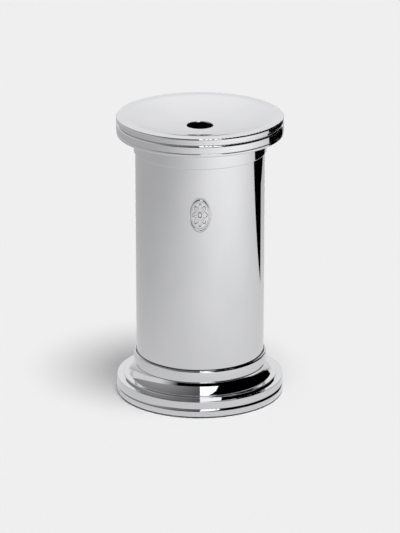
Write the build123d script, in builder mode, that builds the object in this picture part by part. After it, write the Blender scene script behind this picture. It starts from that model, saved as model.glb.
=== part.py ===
from build123d import *
from math import cos, radians, sin, sqrt, tan
import os

# A chromed column pencil sharpener that stands on a desk. The origin is the
# centre of the underside, +Z is up, and the oval stamp on the barrel faces -Y.
# The head (flange, neck collar and everything hung from it) plugs into the
# barrel, grips it with a rubber ring, and lifts off to empty the shavings.

# Driving dimensions, mm
HEIGHT = 94.4
PLINTH_R = 27.6
FLANGE_R = 27.1
BARREL_R = 21.0
COLLAR_R = 21.5
BARREL_WALL = 1.5
PENCIL_R = 4.25  # takes an 8 mm pencil

# Heights of the joints between the turned pieces
PLINTH_FOOT = 0.3  # the pad stands this far below the metal
PLINTH_TOP = 5.6
MOULDING_TOP = 9.8
BARREL_SEAT = 11.4
RING_TOP = 14.1
COLLAR_FOOT = 82.5
FLANGE_FOOT = 88.2

BORE_R = BARREL_R - BARREL_WALL
SLIP = 0.05  # radial gap between pieces that are bolted or pressed together


# ---- Base: pad, plinth, weight, moulding and foot ring on one tie screw ----

PAD_R = 25.4
PAD_TOP = 1.2
SHANK_R = 2.5  # M5 tie screw
WASHER_SEAT = 3.6
COUNTERBORE_R = 6.6
LEDGE_R = 25.3
UPPER_DISC_R = 27.45
GROOVE_R = 27.0
GROOVE_TOP = 3.15
LOWER_DISC_TOP = 2.3
DISC_EDGE_R = 0.15

with BuildPart() as plinth:
    with BuildSketch(Plane.XZ):
        with BuildLine():
            Polyline(
                (SHANK_R + SLIP, PLINTH_TOP),
                (SHANK_R + SLIP, WASHER_SEAT),
                (COUNTERBORE_R, WASHER_SEAT),
                (COUNTERBORE_R, PAD_TOP),
                (PAD_R + 0.2, PAD_TOP),
                (PAD_R + 0.2, PLINTH_FOOT),
                (PLINTH_R - 0.3, PLINTH_FOOT),
                (PLINTH_R, PLINTH_FOOT + 0.3),
                (PLINTH_R, LOWER_DISC_TOP),
            )
            # The groove is a small cove that turns up under the upper disc.
            RadiusArc((PLINTH_R, LOWER_DISC_TOP), (GROOVE_R, GROOVE_TOP), 1.0)
            Polyline(
                (GROOVE_R, GROOVE_TOP),
                (UPPER_DISC_R, GROOVE_TOP),
                (UPPER_DISC_R, PLINTH_TOP - DISC_EDGE_R),
            )
            RadiusArc(
                (UPPER_DISC_R, PLINTH_TOP - DISC_EDGE_R),
                (UPPER_DISC_R - DISC_EDGE_R, PLINTH_TOP),
                -DISC_EDGE_R,
            )
            Line((UPPER_DISC_R - DISC_EDGE_R, PLINTH_TOP), (SHANK_R + SLIP, PLINTH_TOP))
        make_face()
    revolve(axis=Axis.Z)
plinth.part.label = "plinth"

with BuildPart() as base_pad:
    with BuildSketch(Plane.XY):
        Circle(PAD_R)
    extrude(amount=PAD_TOP)
    fillet(base_pad.edges().filter_by(GeomType.CIRCLE).sort_by(Axis.Z)[0], 0.25)
base_pad.part.label = "base_pad"

INNER_R = 19.2  # bore of the moulding and of the foot ring's lower half
THROAT_R = 21.5
RISER_TOP = PLINTH_TOP + 0.75
RISER_EDGE_R = 0.2
SCOTIA_FOOT_R = 23.6
SCOTIA_R = 5.7

with BuildPart() as base_moulding:
    with BuildSketch(Plane.XZ):
        with BuildLine():
            Polyline(
                (THROAT_R, MOULDING_TOP),
                (INNER_R, MOULDING_TOP),
                (INNER_R, PLINTH_TOP),
                (LEDGE_R, PLINTH_TOP),
                (LEDGE_R, RISER_TOP - RISER_EDGE_R),
            )
            RadiusArc(
                (LEDGE_R, RISER_TOP - RISER_EDGE_R),
                (LEDGE_R - RISER_EDGE_R, RISER_TOP),
                -RISER_EDGE_R,
            )
            # The scotia stands on a flat ledge and is an arc, hollow towards the outside.
            Line((LEDGE_R - RISER_EDGE_R, RISER_TOP), (SCOTIA_FOOT_R, RISER_TOP))
            RadiusArc((SCOTIA_FOOT_R, RISER_TOP), (THROAT_R, MOULDING_TOP), SCOTIA_R)
        make_face()
    revolve(axis=Axis.Z)
base_moulding.part.label = "base_moulding"

RING_R = 21.95

with BuildPart() as foot_ring:
    with BuildSketch(Plane.XZ):
        with BuildLine():
            Polyline(
                (BARREL_R + 0.35, RING_TOP),
                (BARREL_R + SLIP, RING_TOP - 0.5),
                (BARREL_R + SLIP, BARREL_SEAT),
                (INNER_R, BARREL_SEAT),
                (INNER_R, MOULDING_TOP),
                (THROAT_R, MOULDING_TOP),
            )
            # A flat torus: rounded under, gently full at the side, rounded over.
            under = RadiusArc((THROAT_R, MOULDING_TOP), (RING_R - 0.1, MOULDING_TOP + 0.7), -0.75)
            widest = (RING_R, (MOULDING_TOP + RING_TOP) / 2)
            side = ThreePointArc(under @ 1, widest, (RING_R - 0.1, RING_TOP - 0.45))
            over = RadiusArc(side @ 1, (BARREL_R + 0.35, RING_TOP), -0.55)
        make_face()
    revolve(axis=Axis.Z)
foot_ring.part.label = "foot_ring"

with BuildPart() as base_weight:
    with BuildSketch(Plane.XZ):
        with BuildLine():
            Polyline(
                (SHANK_R + SLIP, PLINTH_TOP),
                (INNER_R - 0.2, PLINTH_TOP),
                (INNER_R - 0.2, BARREL_SEAT - 0.4),
                (INNER_R - 0.6, BARREL_SEAT),
                (SHANK_R + SLIP, BARREL_SEAT),
                close=True,
            )
        make_face()
    revolve(axis=Axis.Z)
base_weight.part.label = "base_weight"

WASHER_FOOT = WASHER_SEAT - 0.5
WASHER_R = 6.0
LOCK_FOOT = WASHER_FOOT - 0.6
LOCK_WASHER_R = 4.4
LOCK_WASHER_BORE_R = SHANK_R + 0.1
SPLIT_WIDTH = 0.5

with BuildPart() as base_washer:
    with BuildSketch(Plane.XY.offset(WASHER_FOOT)):
        Circle(WASHER_R)
        Circle(SHANK_R + 0.15, mode=Mode.SUBTRACT)
    extrude(amount=WASHER_SEAT - WASHER_FOOT)
base_washer.part.label = "base_washer"

with BuildPart() as lock_washer:
    with BuildSketch(Plane.XY.offset(LOCK_FOOT)):
        Circle(LOCK_WASHER_R)
        Circle(LOCK_WASHER_BORE_R, mode=Mode.SUBTRACT)
        # The split of the spring washer.
        with Locations(((LOCK_WASHER_R + LOCK_WASHER_BORE_R) / 2, 0)):
            Rectangle(LOCK_WASHER_R, SPLIT_WIDTH, mode=Mode.SUBTRACT)
    extrude(amount=WASHER_FOOT - LOCK_FOOT)
lock_washer.part.label = "lock_washer"

SCREW_FACE = PAD_TOP + 0.05
SCREW_HEAD_R = 4.5
SCREW_TIP = BARREL_SEAT + 3.4
SCREW_SOCKET_R = 1.5  # hexagon socket, 3 mm across flats
SOCKET_DEPTH = 0.9

with BuildPart() as tie_screw:
    with BuildSketch(Plane.XY.offset(SCREW_FACE)):
        Circle(SCREW_HEAD_R)
    extrude(amount=LOCK_FOOT - SCREW_FACE)
    with BuildSketch(Plane.XY.offset(LOCK_FOOT)):
        Circle(SHANK_R)
    extrude(amount=SCREW_TIP - LOCK_FOOT)
    chamfer(tie_screw.edges().filter_by(GeomType.CIRCLE).sort_by(Axis.Z)[-1], 0.5)
    with BuildSketch(Plane.XY.offset(SCREW_FACE)):
        RegularPolygon(SCREW_SOCKET_R, 6, major_radius=False)
    extrude(amount=SOCKET_DEPTH, mode=Mode.SUBTRACT)
tie_screw.part.label = "tie_screw"


# ---- Barrel: the tube that holds the shavings, closed at the foot by a plug ----

STAMP_DEPTH = 0.3
STAMP_HEIGHT = 67.3
STAMP_HALF_WIDTH = 3.6
STAMP_HALF_HEIGHT = 5.8

with BuildPart() as barrel:
    # The outer skin, with the oval of the stamp cut right through it.
    with BuildSketch(Plane.XY.offset(BARREL_SEAT)):
        Circle(BARREL_R)
        Circle(BARREL_R - STAMP_DEPTH, mode=Mode.SUBTRACT)
    extrude(amount=COLLAR_FOOT - BARREL_SEAT)
    with BuildSketch(Plane.XZ.offset(BARREL_R / 2)):
        with Locations((0, STAMP_HEIGHT)):
            Ellipse(STAMP_HALF_WIDTH, STAMP_HALF_HEIGHT)
    extrude(amount=BARREL_R, mode=Mode.SUBTRACT)
    # The rest of the wall, which is the floor of the stamp.
    with BuildSketch(Plane.XY.offset(BARREL_SEAT)):
        Circle(BARREL_R - STAMP_DEPTH)
        Circle(BORE_R, mode=Mode.SUBTRACT)
    extrude(amount=COLLAR_FOOT - BARREL_SEAT)
    # A lead-in at the mouth for the rubber ring.
    mouth = barrel.edges().filter_by(GeomType.CIRCLE).group_by(Axis.Z)[-1].sort_by(SortBy.RADIUS)[0]
    chamfer(mouth, 0.5)
barrel.part.label = "barrel"

PLUG_TOP = BARREL_SEAT + 5.0
PLUG_ROOF = PLUG_TOP - 1.0  # end of the blind tapped hole

with BuildPart() as barrel_plug:
    with BuildSketch(Plane.XZ):
        with BuildLine():
            Polyline(
                (0, PLUG_ROOF),
                (SHANK_R + SLIP, PLUG_ROOF),
                (SHANK_R + SLIP, BARREL_SEAT),
                (BORE_R - SLIP, BARREL_SEAT),
                (BORE_R - SLIP, PLUG_TOP - 0.4),
                (BORE_R - SLIP - 0.4, PLUG_TOP),
                (0, PLUG_TOP),
                close=True,
            )
        make_face()
    revolve(axis=Axis.Z)
barrel_plug.part.label = "barrel_plug"


# ---- Head: dished flange and neck collar, screwed together from below ----

DISH_R = 23.4
DISH_DEPTH = 3.4
DISH_BALL_R = (DISH_R**2 + DISH_DEPTH**2) / (2 * DISH_DEPTH)
HOLE_RIM_R = PENCIL_R + 0.3
REGISTER_R = 18.0
REGISTER_TOP = FLANGE_FOOT + 0.6
BEAD_FLAT = HEIGHT - 0.1  # the lip inside the upper bead sits a touch low


def dish_height(radius):
    """Height of the dished top face at a distance from the axis."""
    centre = BEAD_FLAT - DISH_DEPTH + DISH_BALL_R
    return centre - sqrt(DISH_BALL_R**2 - radius**2)


BEAD_EDGE_R = 0.5
BEAD_FOOT_R = 0.15  # rounding under the upper bead
UPPER_BEAD_FOOT = HEIGHT - 1.5
LOWER_BEAD_TOP = HEIGHT - 2.35
LOWER_BEAD_FOOT = FLANGE_FOOT + 1.25
FILLET_R = FLANGE_R - 0.1
BEAD_GROOVE_R = FLANGE_R - 0.5
FILLET_GROOVE_R = FLANGE_R - 0.3
FILLET_TOP = LOWER_BEAD_FOOT - 0.35
FILLET_FOOT_R = 0.6
M25_R = 1.25
COLLAR_SCREW_PITCH_R = 13.6
COLLAR_SCREW_TIP = REGISTER_TOP + 1.8

with BuildPart() as top_flange:
    with BuildSketch(Plane.XZ):
        with BuildLine():
            # Dished top, from the pencil hole out to the lip.
            rim = RadiusArc(
                (PENCIL_R, dish_height(HOLE_RIM_R) - 0.3),
                (HOLE_RIM_R, dish_height(HOLE_RIM_R)),
                0.3,
            )
            middle = (DISH_R / 2, dish_height(DISH_R / 2))
            dish = ThreePointArc(rim @ 1, middle, (DISH_R, BEAD_FLAT))
            Polyline(dish @ 1, (DISH_R + 0.6, HEIGHT), (FLANGE_R - BEAD_EDGE_R, HEIGHT))
            # Upper bead, first groove and lower bead.
            RadiusArc(
                (FLANGE_R - BEAD_EDGE_R, HEIGHT),
                (FLANGE_R, HEIGHT - BEAD_EDGE_R),
                BEAD_EDGE_R,
            )
            Line((FLANGE_R, HEIGHT - BEAD_EDGE_R), (FLANGE_R, UPPER_BEAD_FOOT + BEAD_FOOT_R))
            RadiusArc(
                (FLANGE_R, UPPER_BEAD_FOOT + BEAD_FOOT_R),
                (FLANGE_R - BEAD_FOOT_R, UPPER_BEAD_FOOT),
                BEAD_FOOT_R,
            )
            Polyline(
                (FLANGE_R - BEAD_FOOT_R, UPPER_BEAD_FOOT),
                (BEAD_GROOVE_R, UPPER_BEAD_FOOT),
                (BEAD_GROOVE_R, LOWER_BEAD_TOP + 0.1),
            )
            RadiusArc((BEAD_GROOVE_R, LOWER_BEAD_TOP + 0.1), (FLANGE_R, LOWER_BEAD_TOP - 0.55), 0.7)
            # Second groove, and the thin fillet under the lower bead.
            Polyline(
                (FLANGE_R, LOWER_BEAD_TOP - 0.55),
                (FLANGE_R, LOWER_BEAD_FOOT + 0.1),
                (FLANGE_R - 0.1, LOWER_BEAD_FOOT),
                (FILLET_GROOVE_R, LOWER_BEAD_FOOT),
                (FILLET_GROOVE_R, LOWER_BEAD_FOOT - 0.1),
            )
            RadiusArc((FILLET_GROOVE_R, LOWER_BEAD_FOOT - 0.1), (FILLET_R, FILLET_TOP), 0.35)
            Line((FILLET_R, FILLET_TOP), (FILLET_R, FLANGE_FOOT + FILLET_FOOT_R))
            RadiusArc(
                (FILLET_R, FLANGE_FOOT + FILLET_FOOT_R),
                (FILLET_R - FILLET_FOOT_R, FLANGE_FOOT),
                FILLET_FOOT_R,
            )
            # Flat underside with a shallow register for the collar.
            Polyline(
                (FILLET_R - FILLET_FOOT_R, FLANGE_FOOT),
                (REGISTER_R + SLIP, FLANGE_FOOT),
                (REGISTER_R + SLIP, REGISTER_TOP),
                (PENCIL_R, REGISTER_TOP),
                rim @ 0,
            )
        make_face()
    revolve(axis=Axis.Z)
    # Three blind tapped holes for the screws that come up through the collar.
    with BuildSketch(Plane.XY.offset(REGISTER_TOP)):
        with PolarLocations(COLLAR_SCREW_PITCH_R, 3, start_angle=90):
            Circle(M25_R + SLIP)
    extrude(amount=COLLAR_SCREW_TIP + 0.2 - REGISTER_TOP, mode=Mode.SUBTRACT)
top_flange.part.label = "top_flange"

WEB_FOOT = FLANGE_FOOT - 3.0
SPIGOT_R = BORE_R - 0.15
SPIGOT_FOOT = COLLAR_FOOT - 8.0
SPIGOT_BORE_R = 16.6
GUIDE_HEAD_R = 8.0
GUIDE_BODY_R = 6.5
GUIDE_HEAD_FOOT = WEB_FOOT + 1.8
RING_GROOVE = (COLLAR_FOOT - 5.1, COLLAR_FOOT - 2.9)
RING_GROOVE_R = 17.9
CARRIER_SCREW_R = 13.0  # distance of each carrier screw from the axis
COUNTERSINK_R = 2.35
COUNTERSINK_DEPTH = COUNTERSINK_R - M25_R
COLLAR_SCREW_FACE = WEB_FOOT + 0.02
COLLAR_SOCKET_R = 0.75  # hexagon socket, 1.5 mm across flats
COLLAR_EDGE_R = 0.35

with BuildPart() as neck_collar:
    with BuildSketch(Plane.XZ):
        with BuildLine():
            Polyline(
                (GUIDE_BODY_R + SLIP, WEB_FOOT),
                (GUIDE_BODY_R + SLIP, GUIDE_HEAD_FOOT),
                (GUIDE_HEAD_R + SLIP, GUIDE_HEAD_FOOT),
                (GUIDE_HEAD_R + SLIP, REGISTER_TOP),
                (REGISTER_R, REGISTER_TOP),
                (REGISTER_R, FLANGE_FOOT),
                (COLLAR_R, FLANGE_FOOT),
                (COLLAR_R, COLLAR_FOOT + COLLAR_EDGE_R),
            )
            RadiusArc(
                (COLLAR_R, COLLAR_FOOT + COLLAR_EDGE_R),
                (COLLAR_R - COLLAR_EDGE_R, COLLAR_FOOT),
                COLLAR_EDGE_R,
            )
            # Spigot, with the groove for the rubber ring and a lead-in.
            Polyline(
                (COLLAR_R - COLLAR_EDGE_R, COLLAR_FOOT),
                (SPIGOT_R, COLLAR_FOOT),
                (SPIGOT_R, RING_GROOVE[1]),
                (RING_GROOVE_R, RING_GROOVE[1]),
                (RING_GROOVE_R, RING_GROOVE[0]),
                (SPIGOT_R, RING_GROOVE[0]),
                (SPIGOT_R, SPIGOT_FOOT + 0.6),
                (SPIGOT_R - 0.6, SPIGOT_FOOT),
                (SPIGOT_BORE_R, SPIGOT_FOOT),
                (SPIGOT_BORE_R, WEB_FOOT),
                (GUIDE_BODY_R + SLIP, WEB_FOOT),
            )
        make_face()
    revolve(axis=Axis.Z)
    # Countersunk holes up into the flange.
    with Locations(Plane(origin=(0, 0, WEB_FOOT), z_dir=(0, 0, -1))):
        with PolarLocations(COLLAR_SCREW_PITCH_R, 3, start_angle=90):
            CounterSinkHole(M25_R + SLIP, COUNTERSINK_R + SLIP, counter_sink_angle=90)
    # Tapped holes for the two screws of the carrier plate.
    with BuildSketch(Plane.XY.offset(WEB_FOOT)):
        with PolarLocations(CARRIER_SCREW_R, 2):
            Circle(M25_R + SLIP)
    extrude(amount=2.5, mode=Mode.SUBTRACT)
neck_collar.part.label = "neck_collar"

with BuildPart() as collar_screws:
    with BuildSketch(Plane.XZ):
        with BuildLine():
            Polyline(
                (0, COLLAR_SCREW_FACE),
                (COUNTERSINK_R, COLLAR_SCREW_FACE),
                (M25_R, COLLAR_SCREW_FACE + COUNTERSINK_DEPTH),
                (M25_R, COLLAR_SCREW_TIP - 0.3),
                (M25_R - 0.3, COLLAR_SCREW_TIP),
                (0, COLLAR_SCREW_TIP),
                close=True,
            )
        make_face()
    revolve(axis=Axis.Z)
    with BuildSketch(Plane.XY.offset(COLLAR_SCREW_FACE)):
        RegularPolygon(COLLAR_SOCKET_R, 6, major_radius=False)
    extrude(amount=SOCKET_DEPTH, mode=Mode.SUBTRACT)
collar_screw_spots = PolarLocations(COLLAR_SCREW_PITCH_R, 3, start_angle=90).locations
collar_screw_group = Compound([collar_screws.part.moved(spot) for spot in collar_screw_spots])
collar_screw_group.label = "collar_screws"

with BuildPart() as pencil_guide:
    with BuildSketch(Plane.XY.offset(WEB_FOOT)):
        Circle(GUIDE_BODY_R)
        Circle(PENCIL_R, mode=Mode.SUBTRACT)
    extrude(amount=REGISTER_TOP - WEB_FOOT)
    with BuildSketch(Plane.XY.offset(GUIDE_HEAD_FOOT)):
        Circle(GUIDE_HEAD_R)
        Circle(PENCIL_R, mode=Mode.SUBTRACT)
    extrude(amount=REGISTER_TOP - GUIDE_HEAD_FOOT)
pencil_guide.part.label = "pencil_guide"

GRIP_SECTION_R = 0.75

with BuildPart() as grip_ring:
    with BuildSketch(Plane.XZ):
        with Locations((BORE_R - SLIP - GRIP_SECTION_R, sum(RING_GROOVE) / 2)):
            Circle(GRIP_SECTION_R)
    revolve(axis=Axis.Z)
grip_ring.part.label = "grip_ring"


# ---- Sharpening unit: wedge block, blade and carrier plate under the collar ----

CARRIER_FOOT = WEB_FOOT - 3.0
SHOULDER_FOOT = WEB_FOOT - 2.0
SHOULDER_SIZE = (18.8, 14.8)
BLOCK_WIDTH = 15.0
BLOCK_BACK = 5.5  # the back face of the wedge stands at +Y
CONE_TOP = CARRIER_FOOT - 0.5
CONE_WIDE_R = 4.2
CONE_NARROW_R = 0.8
CONE_HALF_ANGLE = 11.0
CONE_FOOT = CONE_TOP - (CONE_WIDE_R - CONE_NARROW_R) / tan(radians(CONE_HALF_ANGLE))
BLOCK_FOOT = CONE_FOOT - 1.0
BLADE_BITE = 0.25  # the blade's seat lies this far inside the cone
GRIP_R = 20.9  # radius of the finger hollow in each side
GRIP_DEPTH = 0.9
GRIP_HEIGHT = (CONE_TOP + BLOCK_FOOT) / 2 - 1.0

with BuildPart() as sharpener_block:
    # Shoulder that the carrier plate clamps against the collar.
    with BuildSketch(Plane.XY.offset(SHOULDER_FOOT)):
        Rectangle(*SHOULDER_SIZE)
    extrude(amount=WEB_FOOT - SHOULDER_FOOT)
    with BuildSketch(Plane.XY.offset(CONE_TOP)):
        Rectangle(BLOCK_WIDTH, 2 * BLOCK_BACK)
    extrude(amount=SHOULDER_FOOT - CONE_TOP)
    # The wedge, seen from the side: the front face is the blade's seat.
    seat_top = -(CONE_WIDE_R - BLADE_BITE)
    seat_foot = seat_top + (CONE_TOP - BLOCK_FOOT) * tan(radians(CONE_HALF_ANGLE))
    with BuildSketch(Plane.YZ.offset(-BLOCK_WIDTH / 2)):
        with BuildLine():
            Polyline(
                (seat_top, CONE_TOP),
                (seat_foot, BLOCK_FOOT),
                (BLOCK_BACK, BLOCK_FOOT),
                (BLOCK_BACK, CONE_TOP),
                close=True,
            )
        make_face()
    extrude(amount=BLOCK_WIDTH)
    # Finger grips hollowed into both sides.
    with BuildSketch(Plane.XZ.offset(-BLOCK_BACK)):
        grip_middle = BLOCK_WIDTH / 2 + GRIP_R - GRIP_DEPTH
        with Locations((-grip_middle, GRIP_HEIGHT), (grip_middle, GRIP_HEIGHT)):
            Circle(GRIP_R)
    extrude(amount=2 * BLOCK_BACK + 4, mode=Mode.SUBTRACT)
    # Pencil bore, cone and the hole at its point.
    with BuildSketch(Plane.XZ):
        with BuildLine():
            Polyline(
                (0, WEB_FOOT),
                (PENCIL_R, WEB_FOOT),
                (PENCIL_R, CARRIER_FOOT),
                (CONE_WIDE_R, CONE_TOP),
                (CONE_NARROW_R, CONE_FOOT),
                (CONE_NARROW_R, BLOCK_FOOT),
                (0, BLOCK_FOOT),
                close=True,
            )
        make_face()
    revolve(axis=Axis.Z, mode=Mode.SUBTRACT)

# The blade's seat, with x across the blade and y down the slope.
seat = Plane(
    origin=(0, seat_top, CONE_TOP),
    x_dir=(1, 0, 0),
    z_dir=(0, -cos(radians(CONE_HALF_ANGLE)), -sin(radians(CONE_HALF_ANGLE))),
)
BLADE_LENGTH = 17.5
BLADE_WIDTH = 7.0
BLADE_EDGE_X = 0.25
BLADE_THICK = 0.6
M25_HEAD_R = 2.25
M25_HEAD_HEIGHT = 1.4
M25_SLOT = (6.0, 0.6)  # longer than the head is wide
M25_SLOT_DEPTH = 0.7
BLADE_MIDDLE = (BLADE_EDGE_X + BLADE_WIDTH / 2, -0.4 - BLADE_LENGTH / 2)
BLADE_SCREW_AT = (4.4, BLADE_MIDDLE[1])

with BuildPart() as blade_screw_hole:
    with BuildSketch(seat):
        with Locations(BLADE_SCREW_AT):
            Circle(M25_R + SLIP)
    extrude(amount=-4.2)
sharpener_block.part -= blade_screw_hole.part
sharpener_block.part.label = "sharpener_block"

with BuildPart() as blade:
    with BuildSketch(seat):
        with Locations(BLADE_MIDDLE):
            Rectangle(BLADE_WIDTH, BLADE_LENGTH)
        with Locations(BLADE_SCREW_AT):
            Circle(M25_R + 0.15, mode=Mode.SUBTRACT)
    extrude(amount=BLADE_THICK)
    # The cutting edge is ground away from the face that lies on the block.
    edge = blade.edges().group_by(Axis.X)[0].sort_by(Axis.Y)[0]
    chamfer(edge, length=BLADE_THICK - 0.1, length2=1.4)
blade.part.label = "blade"

with BuildPart() as blade_screw:
    with BuildSketch(seat.offset(BLADE_THICK)):
        with Locations(BLADE_SCREW_AT):
            Circle(M25_HEAD_R)
    extrude(amount=M25_HEAD_HEIGHT)
    seat_normal = Axis(seat.origin, seat.z_dir)
    fillet(blade_screw.edges().filter_by(GeomType.CIRCLE).sort_by(seat_normal)[-1], 0.4)
    with BuildSketch(seat.offset(BLADE_THICK)):
        with Locations(BLADE_SCREW_AT):
            Circle(M25_R)
    extrude(amount=-(BLADE_THICK + 4.0))
    # Screwdriver slot.
    with BuildSketch(seat.offset(BLADE_THICK + M25_HEAD_HEIGHT)):
        with Locations(BLADE_SCREW_AT):
            Rectangle(*M25_SLOT, rotation=35)
    extrude(amount=-M25_SLOT_DEPTH, mode=Mode.SUBTRACT)
blade_screw.part.label = "blade_screw"

with BuildPart() as carrier_plate:
    with BuildSketch(Plane.XY.offset(CARRIER_FOOT)):
        Circle(SPIGOT_BORE_R - 0.2)
        Rectangle(BLOCK_WIDTH + 0.2, 2 * BLOCK_BACK + 0.2, mode=Mode.SUBTRACT)
        with PolarLocations(CARRIER_SCREW_R, 2):
            Circle(M25_R + 0.15, mode=Mode.SUBTRACT)
    extrude(amount=WEB_FOOT - CARRIER_FOOT)
    lower_rims = carrier_plate.edges().filter_by(GeomType.CIRCLE).group_by(Axis.Z)[0]
    chamfer(lower_rims.sort_by(SortBy.RADIUS)[-1], 0.4)
    # Pocket that holds the block's shoulder.
    with BuildSketch(Plane.XY.offset(SHOULDER_FOOT)):
        Rectangle(SHOULDER_SIZE[0] + 0.2, SHOULDER_SIZE[1] + 0.2)
    extrude(amount=WEB_FOOT - SHOULDER_FOOT, mode=Mode.SUBTRACT)
carrier_plate.part.label = "carrier_plate"

with BuildPart() as carrier_screw:
    with BuildSketch(Plane.XY.offset(CARRIER_FOOT - M25_HEAD_HEIGHT)):
        Circle(M25_HEAD_R)
    extrude(amount=M25_HEAD_HEIGHT)
    fillet(carrier_screw.edges().filter_by(GeomType.CIRCLE).sort_by(Axis.Z)[0], 0.4)
    with BuildSketch(Plane.XY.offset(CARRIER_FOOT)):
        Circle(M25_R)
    extrude(amount=WEB_FOOT + 2.2 - CARRIER_FOOT)
    with BuildSketch(Plane.XY.offset(CARRIER_FOOT - M25_HEAD_HEIGHT)):
        Rectangle(*M25_SLOT)
    extrude(amount=M25_SLOT_DEPTH, mode=Mode.SUBTRACT)
carrier_screw_spots = PolarLocations(CARRIER_SCREW_R, 2).locations
carrier_screw_group = Compound([carrier_screw.part.moved(spot) for spot in carrier_screw_spots])
carrier_screw_group.label = "carrier_screws"


# ---- One STEP file for each piece ----

os.makedirs("parts", exist_ok=True)
turned_pieces = [plinth, base_pad, base_moulding, foot_ring, base_weight]
turned_pieces += [base_washer, lock_washer, tie_screw, barrel, barrel_plug]
head_pieces = [top_flange, neck_collar, pencil_guide, grip_ring]
head_pieces += [sharpener_block, blade, blade_screw, carrier_plate]
for piece in turned_pieces + head_pieces:
    export_step(piece.part, f"parts/{piece.part.label}.step")
for group in (collar_screw_group, carrier_screw_group):
    export_step(group, f"parts/{group.label}.step")
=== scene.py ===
from math import cos, exp, pi, radians, sin, sqrt

import bpy
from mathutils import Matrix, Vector, noise

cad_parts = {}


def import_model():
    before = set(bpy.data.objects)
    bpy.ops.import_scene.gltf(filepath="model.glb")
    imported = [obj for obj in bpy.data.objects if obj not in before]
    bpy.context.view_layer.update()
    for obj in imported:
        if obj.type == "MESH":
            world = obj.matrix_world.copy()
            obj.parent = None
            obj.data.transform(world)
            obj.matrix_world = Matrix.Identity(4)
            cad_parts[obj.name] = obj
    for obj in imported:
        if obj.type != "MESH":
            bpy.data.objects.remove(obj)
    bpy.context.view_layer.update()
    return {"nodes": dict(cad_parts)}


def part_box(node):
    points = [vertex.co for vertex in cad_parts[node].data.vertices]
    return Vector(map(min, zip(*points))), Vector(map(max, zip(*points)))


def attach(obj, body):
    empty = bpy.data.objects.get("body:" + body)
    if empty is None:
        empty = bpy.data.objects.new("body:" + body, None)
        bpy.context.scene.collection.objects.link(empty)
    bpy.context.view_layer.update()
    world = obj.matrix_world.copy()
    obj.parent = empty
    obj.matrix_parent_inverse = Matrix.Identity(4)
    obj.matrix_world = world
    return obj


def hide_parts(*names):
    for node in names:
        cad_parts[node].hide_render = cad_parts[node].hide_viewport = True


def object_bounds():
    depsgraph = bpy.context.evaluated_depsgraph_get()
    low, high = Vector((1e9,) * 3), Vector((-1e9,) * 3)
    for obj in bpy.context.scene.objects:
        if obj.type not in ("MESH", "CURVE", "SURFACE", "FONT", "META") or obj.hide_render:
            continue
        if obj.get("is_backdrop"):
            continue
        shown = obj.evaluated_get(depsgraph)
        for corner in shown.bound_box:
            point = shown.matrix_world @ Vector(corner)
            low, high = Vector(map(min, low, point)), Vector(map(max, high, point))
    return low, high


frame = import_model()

# A chromed column pencil sharpener on a pale studio floor. Metres, +Z up, and
# the oval stamp on the barrel faces -Y, towards the camera.

MM = 0.001


# ---- Materials: every one is procedural, in the object's own coordinates ----

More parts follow.
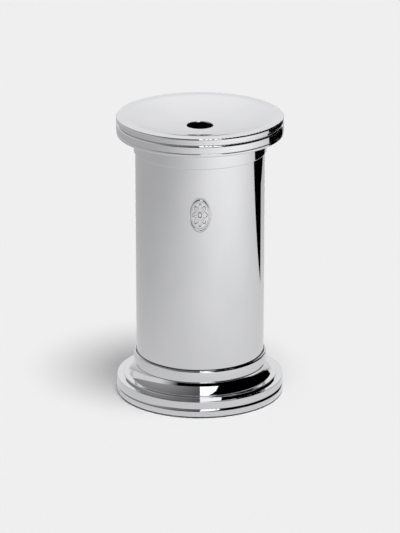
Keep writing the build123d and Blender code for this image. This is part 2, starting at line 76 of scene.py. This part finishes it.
class Look:
    """A Principled material with a few helpers that add procedural nodes to it."""

    def __init__(self, name, **sockets):
        self.material = bpy.data.materials.new(name)
        self.material.use_nodes = True
        self.nodes = self.material.node_tree.nodes
        self.links = self.material.node_tree.links
        self.surface = self.nodes["Principled BSDF"]
        for socket, value in sockets.items():
            self.surface.inputs[socket.replace("_", " ")].default_value = value
        self.place = self.nodes.new("ShaderNodeTexCoord").outputs["Object"]

    def math(self, operation, a, b):
        node = self.nodes.new("ShaderNodeMath")
        node.operation = operation
        for socket, value in zip(node.inputs, (a, b)):
            if isinstance(value, (int, float)):
                socket.default_value = value
            else:
                self.links.new(value, socket)
        return node.outputs["Value"]

    def scaled(self, scale):
        """The object coordinates, stretched by a factor along each axis."""
        node = self.nodes.new("ShaderNodeMapping")
        node.inputs["Scale"].default_value = scale
        self.links.new(self.place, node.inputs["Vector"])
        return node.outputs["Vector"]

    def turned(self, fine, around):
        """Coordinates whose noise runs in rings about the Z axis, as lathe and buffing marks do."""
        split = self.nodes.new("ShaderNodeSeparateXYZ")
        self.links.new(self.place, split.inputs["Vector"])
        x, y, z = (split.outputs[axis] for axis in "XYZ")
        square = self.math("ADD", self.math("MULTIPLY", x, x), self.math("MULTIPLY", y, y))
        radius = self.math("POWER", square, 0.5)
        joined = self.nodes.new("ShaderNodeCombineXYZ")
        self.links.new(self.math("MULTIPLY", radius, fine), joined.inputs["X"])
        self.links.new(self.math("MULTIPLY", z, fine), joined.inputs["Y"])
        self.links.new(self.math("MULTIPLY", self.math("ARCTAN2", y, x), around), joined.inputs["Z"])
        return joined.outputs["Vector"]

    def noise(self, vector, scale, detail=3.0):
        node = self.nodes.new("ShaderNodeTexNoise")
        node.inputs["Scale"].default_value = scale
        node.inputs["Detail"].default_value = detail
        self.links.new(vector, node.inputs["Vector"])
        return node.outputs["Fac"]

    def spread(self, value, low, high, start=0.3, end=0.7):
        """value, which lies mostly between start and end, spread between low and high."""
        node = self.nodes.new("ShaderNodeMapRange")
        node.inputs["From Min"].default_value = start
        node.inputs["From Max"].default_value = end
        node.inputs["To Min"].default_value = low
        node.inputs["To Max"].default_value = high
        self.links.new(value, node.inputs["Value"])
        return node.outputs["Result"]

    def near(self, height, reach):
        """1 at a height above the floor, falling to 0 at a distance of reach from it."""
        split = self.nodes.new("ShaderNodeSeparateXYZ")
        self.links.new(self.place, split.inputs["Vector"])
        off = self.math("ABSOLUTE", self.math("SUBTRACT", split.outputs["Z"], height), 0.0)
        return self.math("SUBTRACT", 1.0, self.math("MINIMUM", self.math("DIVIDE", off, reach), 1.0))

    def colour(self, value, *stops, start=0.3, end=0.7, stain=None, darker_rgb=None):
        node = self.nodes.new("ShaderNodeValToRGB")
        ramp = node.color_ramp
        while len(ramp.elements) < len(stops):
            ramp.elements.new(0.5)
        for index, rgb in enumerate(stops):
            ramp.elements[index].position = start + (end - start) * index / (len(stops) - 1)
            ramp.elements[index].color = (*rgb, 1.0)
        self.links.new(value, node.inputs["Fac"])
        shade = node.outputs["Color"]
        # stain mixes the colour towards darker_rgb; at the barrel's foot seam it carries painted shade.
        if stain is not None:
            mix = self.nodes.new("ShaderNodeMix")
            mix.data_type = "RGBA"
            self.links.new(stain, mix.inputs["Factor"])
            self.links.new(shade, mix.inputs["A"])
            mix.inputs["B"].default_value = (*darker_rgb, 1.0)
            shade = mix.outputs["Result"]
        self.links.new(shade, self.surface.inputs["Base Color"])

    def roughness(self, value):
        self.links.new(value, self.surface.inputs["Roughness"])

    def bump(self, value, height, strength=1.0, below=None):
        """Raises the surface by value times height metres, on top of an earlier bump."""
        node = self.nodes.new("ShaderNodeBump")
        node.inputs["Distance"].default_value = height
        node.inputs["Strength"].default_value = strength
        self.links.new(value, node.inputs["Height"])
        if below is not None:
            self.links.new(below, node.inputs["Normal"])
        self.links.new(node.outputs["Normal"], self.surface.inputs["Normal"])
        return node.outputs["Normal"]


STAMP_Z = 67.3 * MM
STAMP_HALF_WIDTH = 3.5 * MM
STAMP_HALF_HEIGHT = 5.7 * MM
STAMP_DEPTH = 0.3 * MM
STAMP_ROOT = 0.06 * MM  # how far the relief is let into the floor
STAMP_FLOOR_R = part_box("barrel")[1].x - STAMP_DEPTH
CHROME_SHADES = ((0.716, 0.718, 0.736), (0.736, 0.737, 0.754), (0.747, 0.747, 0.761))


def polished_chrome(name="polished_chrome", seam=None):
    """Mirror chrome with faint wipe marks. If there is a seam, painted shade darkens the metal in a line
    along it.
    """
    look = Look(name, Metallic=1.0)
    handled = look.noise(look.scaled((1, 1, 0.5)), 90, detail=4)
    buffed = look.noise(look.turned(2600, 0.6), 1, detail=2)
    if seam is None:
        look.colour(handled, *CHROME_SHADES)
    else:
        # Painted shade: a near-black line on the barrel just above the foot ring, where the gap between
        # the parts lies in shade.
        seam_shade_raw = look.math("MULTIPLY", look.near(seam, 0.28 * MM), look.spread(handled, 0.8, 1.6))
        painted_seam_shade = look.math("MINIMUM", seam_shade_raw, 0.9)
        look.colour(handled, *CHROME_SHADES, stain=painted_seam_shade, darker_rgb=(0.03, 0.03, 0.032))
    rough = look.math("ADD", look.spread(handled, 0.025, 0.05), look.spread(buffed, 0.0, 0.015))
    look.roughness(rough)
    wavy = look.bump(look.noise(look.place, 260, detail=1), 0.0000025)
    look.bump(buffed, 0.0000001, below=wavy)
    return look.material


def struck_chrome():
    """Chrome of the stamp. The lines that the die left lie nearest to the axis and are coloured darker
    the deeper they lie.
    """
    look = Look("struck_chrome", Metallic=1.0)
    handled = look.noise(look.place, 500, detail=4)
    split = look.nodes.new("ShaderNodeSeparateXYZ")
    look.links.new(look.place, split.inputs["Vector"])
    x, y = split.outputs["X"], split.outputs["Y"]
    square = look.math("ADD", look.math("MULTIPLY", x, x), look.math("MULTIPLY", y, y))
    radius = look.math("POWER", square, 0.5)
    depth = look.spread(radius, 0.85, 0.0, start=STAMP_FLOOR_R + 0.08 * MM, end=STAMP_FLOOR_R + 0.2 * MM)
    look.colour(handled, *CHROME_SHADES, stain=depth, darker_rgb=(0.12, 0.12, 0.125))
    look.roughness(look.spread(handled, 0.05, 0.12))
    look.bump(handled, 0.000002)
    return look.material


def turned_brass():
    look = Look("turned_brass", Metallic=1.0)
    stain = look.noise(look.place, 320, detail=5)
    tool = look.noise(look.scaled((60, 60, 2600)), 1, detail=2)
    look.colour(stain, (0.58, 0.40, 0.17), (0.74, 0.54, 0.25), (0.80, 0.61, 0.31))
    look.roughness(look.spread(stain, 0.36, 0.2))
    look.bump(tool, 0.000004)
    return look.material


def ground_blade():
    look = Look("ground_blade", Metallic=1.0)
    ground = look.noise(look.scaled((150, 150, 6000)), 1, detail=3)
    oil = look.noise(look.place, 300, detail=3)
    look.colour(oil, (0.42, 0.43, 0.45), (0.56, 0.57, 0.59))
    look.roughness(look.spread(ground, 0.16, 0.34))
    look.bump(ground, 0.000002)
    return look.material


def screw_steel():
    look = Look("screw_steel", Metallic=1.0)
    zinc = look.noise(look.place, 700, detail=4)
    look.colour(zinc, (0.50, 0.50, 0.48), (0.66, 0.66, 0.64))
    look.roughness(look.spread(zinc, 0.22, 0.42))
    look.bump(zinc, 0.000006)
    return look.material


def brushed_aluminium():
    look = Look("brushed_aluminium", Metallic=1.0)
    brushed = look.noise(look.scaled((4200, 120, 120)), 1, detail=3)
    cloudy = look.noise(look.place, 160, detail=3)
    look.colour(cloudy, (0.68, 0.69, 0.70), (0.80, 0.81, 0.82))
    look.roughness(look.spread(brushed, 0.28, 0.48))
    look.bump(brushed, 0.000003)
    return look.material


def cast_iron():
    look = Look("cast_iron", Metallic=1.0)
    grain = look.noise(look.place, 1100, detail=6)
    rings = look.noise(look.turned(1500, 0.3), 1, detail=2)
    look.colour(grain, (0.10, 0.095, 0.09), (0.24, 0.235, 0.23), (0.17, 0.13, 0.10))
    look.roughness(look.spread(grain, 0.45, 0.7))
    turned = look.bump(rings, 0.000006)
    look.bump(grain, 0.00002, below=turned)
    return look.material


def moulded_acetal():
    look = Look("moulded_acetal", Specular_IOR_Level=0.4)
    spark = look.noise(look.place, 2600, detail=2)
    dust = look.noise(look.place, 240, detail=4)
    look.colour(dust, (0.006, 0.006, 0.007), (0.014, 0.014, 0.015))
    look.roughness(look.spread(dust, 0.32, 0.5))
    look.bump(spark, 0.000006)
    return look.material


def soft_rubber():
    look = Look("soft_rubber", Specular_IOR_Level=0.35)
    skin = look.noise(look.place, 3200, detail=3)
    bloom = look.noise(look.place, 260, detail=4)
    look.colour(bloom, (0.012, 0.012, 0.013), (0.035, 0.034, 0.033))
    look.roughness(look.spread(bloom, 0.5, 0.75))
    look.bump(skin, 0.00001)
    return look.material


def black_felt():
    look = Look("black_felt", Sheen_Weight=0.5, Sheen_Roughness=0.6, Specular_IOR_Level=0.1)
    fibres = look.noise(look.place, 2400, detail=8)
    patches = look.noise(look.place, 260, detail=4)
    look.colour(patches, (0.012, 0.012, 0.014), (0.03, 0.03, 0.034))
    look.roughness(look.spread(fibres, 0.85, 1.0))
    look.bump(fibres, 0.0001)
    return look.material


LOOKS = {
    "chrome_plate": polished_chrome(),
    "brass": turned_brass(),
    "blade_steel": ground_blade(),
    "screw_steel": screw_steel(),
    "aluminium_plate": brushed_aluminium(),
    "iron": cast_iron(),
    "black_acetal": moulded_acetal(),
    "rubber": soft_rubber(),
    "felt": black_felt(),
}

for node in frame["nodes"].values():
    for material_slot in node.material_slots:
        material_slot.material = LOOKS[material_slot.material.name]

foot_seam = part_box("foot_ring")[1].z + 0.1 * MM
# The barrel's chrome carries a painted shade line along its seam with the foot ring.
frame["nodes"]["barrel"].material_slots[0].material = polished_chrome("barrel_chrome", foot_seam)


# ---- Mesh helpers ----

def mesh_object(name, points, faces, material, smooth=True):
    mesh = bpy.data.meshes.new(name)
    mesh.from_pydata(points, [], faces)
    mesh.validate()
    mesh.polygons.foreach_set("use_smooth", [smooth] * len(mesh.polygons))
    mesh.materials.append(material)
    made = bpy.data.objects.new(name, mesh)
    bpy.context.scene.collection.objects.link(made)
    return made


def bridge(rows, sides, closed_ends):
    """Faces between rings of points that follow one another, each ring with the same number of sides."""
    faces = []
    for row in range(rows - 1):
        for side in range(sides):
            after = (side + 1) % sides
            low, high = row * sides, (row + 1) * sides
            faces.append((low + side, low + after, high + after, high + side))
    if closed_ends:
        faces.append(tuple(reversed(range(sides))))
        faces.append(tuple(range((rows - 1) * sides, rows * sides)))
    return faces


# ---- Stamp: a rosette cut in fine lines, in an oval border ----

STAMP_RINGS = 110
STAMP_SIDES = 320
PETALS = 8
# Fractions of the way out from the middle of the oval:
BOSS = 0.15
BEAD_RING = 0.79
BORDER = 0.9
LINE = 0.022


def cut(distance, width=LINE):
    """Depth, 0 to 1, of a rounded cut at a distance from its middle."""
    return exp(-((distance / width) ** 2))


def rosette_depth(out, angle):
    """Depth of the engraving, 0 to 1, at a fraction out from the middle and an angle from the top."""
    leaning = 0.5 + 0.5 * cos(angle + 0.6)  # the die was struck deeper at the upper left
    border = (0.35 + 0.65 * leaning) * cut(out - BORDER, LINE * (1 + 0.8 * leaning))
    beads = 0.7 * cut(out - BEAD_RING, 0.03) * cut(sin(20 * angle), 0.55)
    lobe = abs(cos(PETALS * angle / 2))
    tip = BOSS + 0.1 + 0.42 * lobe**0.6
    outline = 0.9 * cut(out - tip) if out > BOSS else 0.0
    across = sin(PETALS * angle / 2) * out
    vein = 0.6 * cut(across, 0.03) if BOSS + 0.05 < out < tip - 0.12 else 0.0
    boss = 0.9 * cut(out - BOSS)
    return max(border, beads, outline, vein, boss)


def stamp_relief():
    """The struck face, a little below the skin of the barrel, on the floor of its oval recess."""
    face = STAMP_DEPTH - 0.05 * MM
    cut_depth = 0.17 * MM
    smallest = 0.004  # the innermost ring, as a fraction of the oval
    points = []

    def add_ring(out, height):
        for side in range(STAMP_SIDES):
            angle = 2 * pi * side / STAMP_SIDES
            x = out * STAMP_HALF_WIDTH * sin(angle)
            z = STAMP_Z + out * STAMP_HALF_HEIGHT * cos(angle)
            radius = STAMP_FLOOR_R + height(angle)
            points.append((x, -sqrt(radius**2 - x**2), z))

    add_ring(smallest, lambda angle: -STAMP_ROOT)
    add_ring(1.0, lambda angle: -STAMP_ROOT)
    for ring in range(STAMP_RINGS, -1, -1):
        out = max(smallest, ring / STAMP_RINGS)
        add_ring(out, lambda angle: face - cut_depth * rosette_depth(out, angle))
    faces = bridge(STAMP_RINGS + 3, STAMP_SIDES, closed_ends=True)
    relief = mesh_object("stamp_relief", points, faces, struck_chrome())
    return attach(relief, "stand")


stamp_relief()


# ---- Felt pad: pressed wool with a slightly ragged cut edge ----

def felt_pad():
    """A disc with rounded edges. The worn edge lies inwards and the dimples lie in its faces."""
    low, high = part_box("base_pad")
    outer = (high.x - low.x) / 2
    thick = high.z - low.z
    sides = 360
    steps = 14  # rings across a face
    rounding = 0.3 * thick
    ragged = 0.12 * MM
    dimpled = 0.05 * MM
    outline = [(outer * step / steps, low.z) for step in range(1, steps)]
    outline += [(outer - rounding, low.z), (outer - 0.3 * rounding, low.z + 0.3 * rounding)]
    outline += [(outer, low.z + rounding), (outer, low.z + 0.5 * thick), (outer, high.z - rounding)]
    outline += [(outer - 0.3 * rounding, high.z - 0.3 * rounding), (outer - rounding, high.z)]
    outline += [(outer * step / steps, high.z) for step in range(steps - 1, 0, -1)]
    points = []
    for radius, z in outline:
        for side in range(sides):
            angle = 2 * pi * side / sides
            spot = Vector((radius * cos(angle), radius * sin(angle), z))
            worn = ragged * (1 + noise.noise(spot * 1800)) / 2
            dimple = dimpled * (1 + noise.noise(spot * 900)) / 2
            inward = worn if radius > 0.9 * outer else 0.0
            lift = dimple if z < low.z + 0.5 * thick else -dimple
            points.append(((radius - inward) * cos(angle), (radius - inward) * sin(angle), z + lift))
    pad = mesh_object("felt_pad", points, bridge(len(outline), sides, closed_ends=True), LOOKS["felt"])
    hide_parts("base_pad")
    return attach(pad, "stand")


felt_pad()


# ---- Studio: floor, backdrop, key light, and the cards that the chrome mirrors ----

PAPER = 0.863  # radiance of the floor and of the backdrop
FLOOR_ALBEDO = 0.8
CARD_DISTANCE = 1.5


class Glow:
    """An emission material whose strength is one number, or varies over the card."""

    def __init__(self, name):
        self.material = bpy.data.materials.new(name)
        self.material.use_nodes = True
        self.nodes = self.material.node_tree.nodes
        self.links = self.material.node_tree.links
        self.nodes.clear()
        light = self.nodes.new("ShaderNodeEmission")
        output = self.nodes.new("ShaderNodeOutputMaterial")
        self.links.new(light.outputs["Emission"], output.inputs["Surface"])
        self.strength = light.inputs["Strength"]

    def steady(self, value):
        self.strength.default_value = value
        return self.material

    def sloping(self, weights, offset, lowest, highest):
        """Strength that rises steadily along a direction, kept between two limits."""
        place = self.nodes.new("ShaderNodeTexCoord").outputs["Object"]
        dot = self.nodes.new("ShaderNodeVectorMath")
        dot.operation = "DOT_PRODUCT"
        dot.inputs[1].default_value = weights
        self.links.new(place, dot.inputs[0])
        total = self.nodes.new("ShaderNodeMath")
        total.operation = "ADD"
        total.inputs[1].default_value = offset
        self.links.new(dot.outputs["Value"], total.inputs[0])
        limit = self.nodes.new("ShaderNodeClamp")
        limit.inputs["Min"].default_value = lowest
        limit.inputs["Max"].default_value = highest
        self.links.new(total.outputs["Value"], limit.inputs["Value"])
        self.links.new(limit.outputs["Result"], self.strength)
        return self.material

    def pool(self, centre, reach, middle, edge):
        """A soft pool, bright in the middle."""
        place = self.nodes.new("ShaderNodeTexCoord").outputs["Object"]
        away = self.nodes.new("ShaderNodeVectorMath")
        away.operation = "DISTANCE"
        away.inputs[1].default_value = centre
        self.links.new(place, away.inputs[0])
        fade = self.nodes.new("ShaderNodeMapRange")
        fade.interpolation_type = "SMOOTHSTEP"
        fade.inputs["From Min"].default_value = 0.0
        fade.inputs["From Max"].default_value = reach
        fade.inputs["To Min"].default_value = middle
        fade.inputs["To Max"].default_value = edge
        self.links.new(away.outputs["Value"], fade.inputs["Value"])
        self.links.new(fade.outputs["Result"], self.strength)
        return self.material


def seen_only(card, camera=False, mirrors=False):
    """The card gives no light and no shadow, and shows only to the camera or only in reflections."""
    card.visible_camera = camera
    card.visible_glossy = mirrors
    card.visible_diffuse = False
    card.visible_shadow = False
    card.visible_transmission = False
    card.visible_volume_scatter = False
    card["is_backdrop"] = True
    return card


def wall_card(azimuths, elevations, material, distance=CARD_DISTANCE):
    """Part of a sphere round the object. Azimuth 0 is the camera's side and +90 is +X."""
    columns, rows = 48, 24
    points = []
    for row in range(rows + 1):
        elevation = radians(elevations[0] + (elevations[1] - elevations[0]) * row / rows)
        for column in range(columns + 1):
            azimuth = radians(azimuths[0] + (azimuths[1] - azimuths[0]) * column / columns)
            points.append((
                distance * cos(elevation) * sin(azimuth),
                -distance * cos(elevation) * cos(azimuth),
                distance * sin(elevation),
            ))
    faces = []
    for row in range(rows):
        for column in range(columns):
            corner = row * (columns + 1) + column
            faces.append((corner, corner + 1, corner + columns + 2, corner + columns + 1))
    return mesh_object(material.name, points, faces, material)


def floor():
    """Pale paper, with a faint grain."""
    paper = Look("floor_paper", Roughness=0.9, Specular_IOR_Level=0.0)
    grain = paper.noise(paper.place, 900, detail=3)
    shades = [[FLOOR_ALBEDO + step] * 3 for step in (-0.004, 0.004)]
    paper.colour(grain, *shades)
    half = 6.0
    corners = [(-half, -half, 0), (half, -half, 0), (half, half, 0), (-half, half, 0)]
    mesh_object("floor", corners, [(0, 1, 2, 3)], paper.material, smooth=False)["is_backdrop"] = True


def floor_reflection():
    """What the chrome sees of the floor: a soft pool of light at the front right."""
    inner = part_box("plinth")[1].x + 1.5 * MM
    outer = 1.45
    height = 0.1 * MM
    sides = 96
    points = []
    for radius in (inner, outer):
        for side in range(sides):
            angle = 2 * pi * side / sides
            points.append((radius * cos(angle), radius * sin(angle), height))
    pool_centre = (0.28, -0.26, 0.0)
    pool_reach = 0.63
    light = Glow("floor_reflection").pool(pool_centre, pool_reach, middle=1.13, edge=0.5)
    card = mesh_object("floor_reflection", points, bridge(2, sides, closed_ends=False), light)
    seen_only(card, mirrors=True)


def black_flag():
    """A black card that lies on the floor behind the object, to the right."""
    height = 0.3 * MM
    right = [(0.090, 0.0775), (0.90, 0.105), (0.90, 1.05)]
    left = [(0.13, 0.30), (0.145, 0.235), (0.166, 0.169)]
    corners = [(x, y, height) for x, y in right + left]
    face = tuple(range(len(corners)))
    card = mesh_object("black_flag", corners, [face], Glow("black_flag").steady(0.0))
    seen_only(card, mirrors=True)


def wall_cards():
    """White, grey and black cards that the upward faces of the chrome mirror."""
    foot = -2
    waist = 20.5  # where the dark foot of the front cards ends
    flag_top = 60
    top = 88
    left_low = Glow("left_low_card").sloping((-1.2, 0.3, 0.0), -0.72, 0.0, 0.8)
    left_high = Glow("left_high_card").sloping((-0.16, 0.0, -0.05), 0.16, 0.05, 0.5)
    front_low = Glow("front_low_card").steady(0.0)
    strip = Glow("strip_card").steady(1.6)
    dark = Glow("dark_card").sloping((0.0, 0.0, 8.0), -11.28, 0.0, 0.8)
    back = Glow("back_card").sloping((0.0, 0.0, 0.27), 0.77, 0.77, 1.12)
    cards = [
        wall_card((-150, 0), (foot, waist), left_low),
        wall_card((-150, 0), (waist, top), left_high),
        wall_card((0, 32), (foot, waist), front_low),
        wall_card((0, 32), (waist, top), strip),
        wall_card((32, 115), (foot, top), dark),
        wall_card((115, 150), (foot, flag_top), dark),
        wall_card((115, 150), (flag_top, top), back),
        wall_card((150, 210), (foot, top), back),
    ]
    for card in cards:
        seen_only(card, mirrors=True)


def backdrop():
    """A dome that only the camera sees."""
    dome = wall_card((-180, 180), (-4, 90), Glow("backdrop").steady(PAPER), distance=5.5)
    seen_only(dome, camera=True)


def sun(name, azimuth, elevation, irradiance, angle):
    """A wide, soft sun. Angles are in degrees, with azimuth 0 on the camera's side."""
    lamp = bpy.data.lights.new(name, "SUN")
    lamp.energy = irradiance
    lamp.angle = radians(angle)
    made = bpy.data.objects.new(name, lamp)
    towards = Vector((
        cos(radians(elevation)) * sin(radians(azimuth)),
        -cos(radians(elevation)) * cos(radians(azimuth)),
        sin(radians(elevation)),
    ))
    made.rotation_mode = "QUATERNION"
    made.rotation_quaternion = towards.to_track_quat("Z", "Y")
    made.visible_glossy = False
    bpy.context.scene.collection.objects.link(made)


def world(strength):
    air = bpy.data.worlds.new("studio_air")
    air.use_nodes = True
    background = air.node_tree.nodes["Background"]
    background.inputs["Color"].default_value = (1.0, 1.0, 1.0, 1.0)
    background.inputs["Strength"].default_value = strength
    bpy.context.scene.world = air


def studio():
    """The floor is as bright as the backdrop where the key light and the air both reach it."""
    ambient = 0.25
    key_azimuth = 32
    key_elevation = 77
    key_angle = 26
    world(ambient)
    floor()
    backdrop()
    floor_reflection()
    black_flag()
    wall_cards()
    key = pi * (PAPER / FLOOR_ALBEDO - ambient) / sin(radians(key_elevation))
    sun("key_light", key_azimuth, key_elevation, key, key_angle)


studio()


# ---- Camera ----

def camera():
    """Looks down at the object from its front and aims a little below its middle."""
    distance = 1.0
    elevation = radians(18.98)
    aim_below = 4.6 * MM
    low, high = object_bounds()
    middle = Vector((0, 0, (low.z + high.z) / 2))
    away = Vector((0, -cos(elevation), sin(elevation)))
    lens = bpy.data.cameras.new("camera")
    lens.lens = 206.1
    lens.sensor_width = 36.0
    lens.clip_start = 0.01
    lens.clip_end = 50.0
    made = bpy.data.objects.new("camera", lens)
    made.location = middle + distance * away
    aim = middle - Vector((0, 0, aim_below))
    made.rotation_mode = "QUATERNION"
    made.rotation_quaternion = (aim - made.location).to_track_quat("-Z", "Y")
    bpy.context.scene.collection.objects.link(made)
    bpy.context.scene.camera = made


camera()
bpy.context.scene.view_settings.view_transform = "Standard"
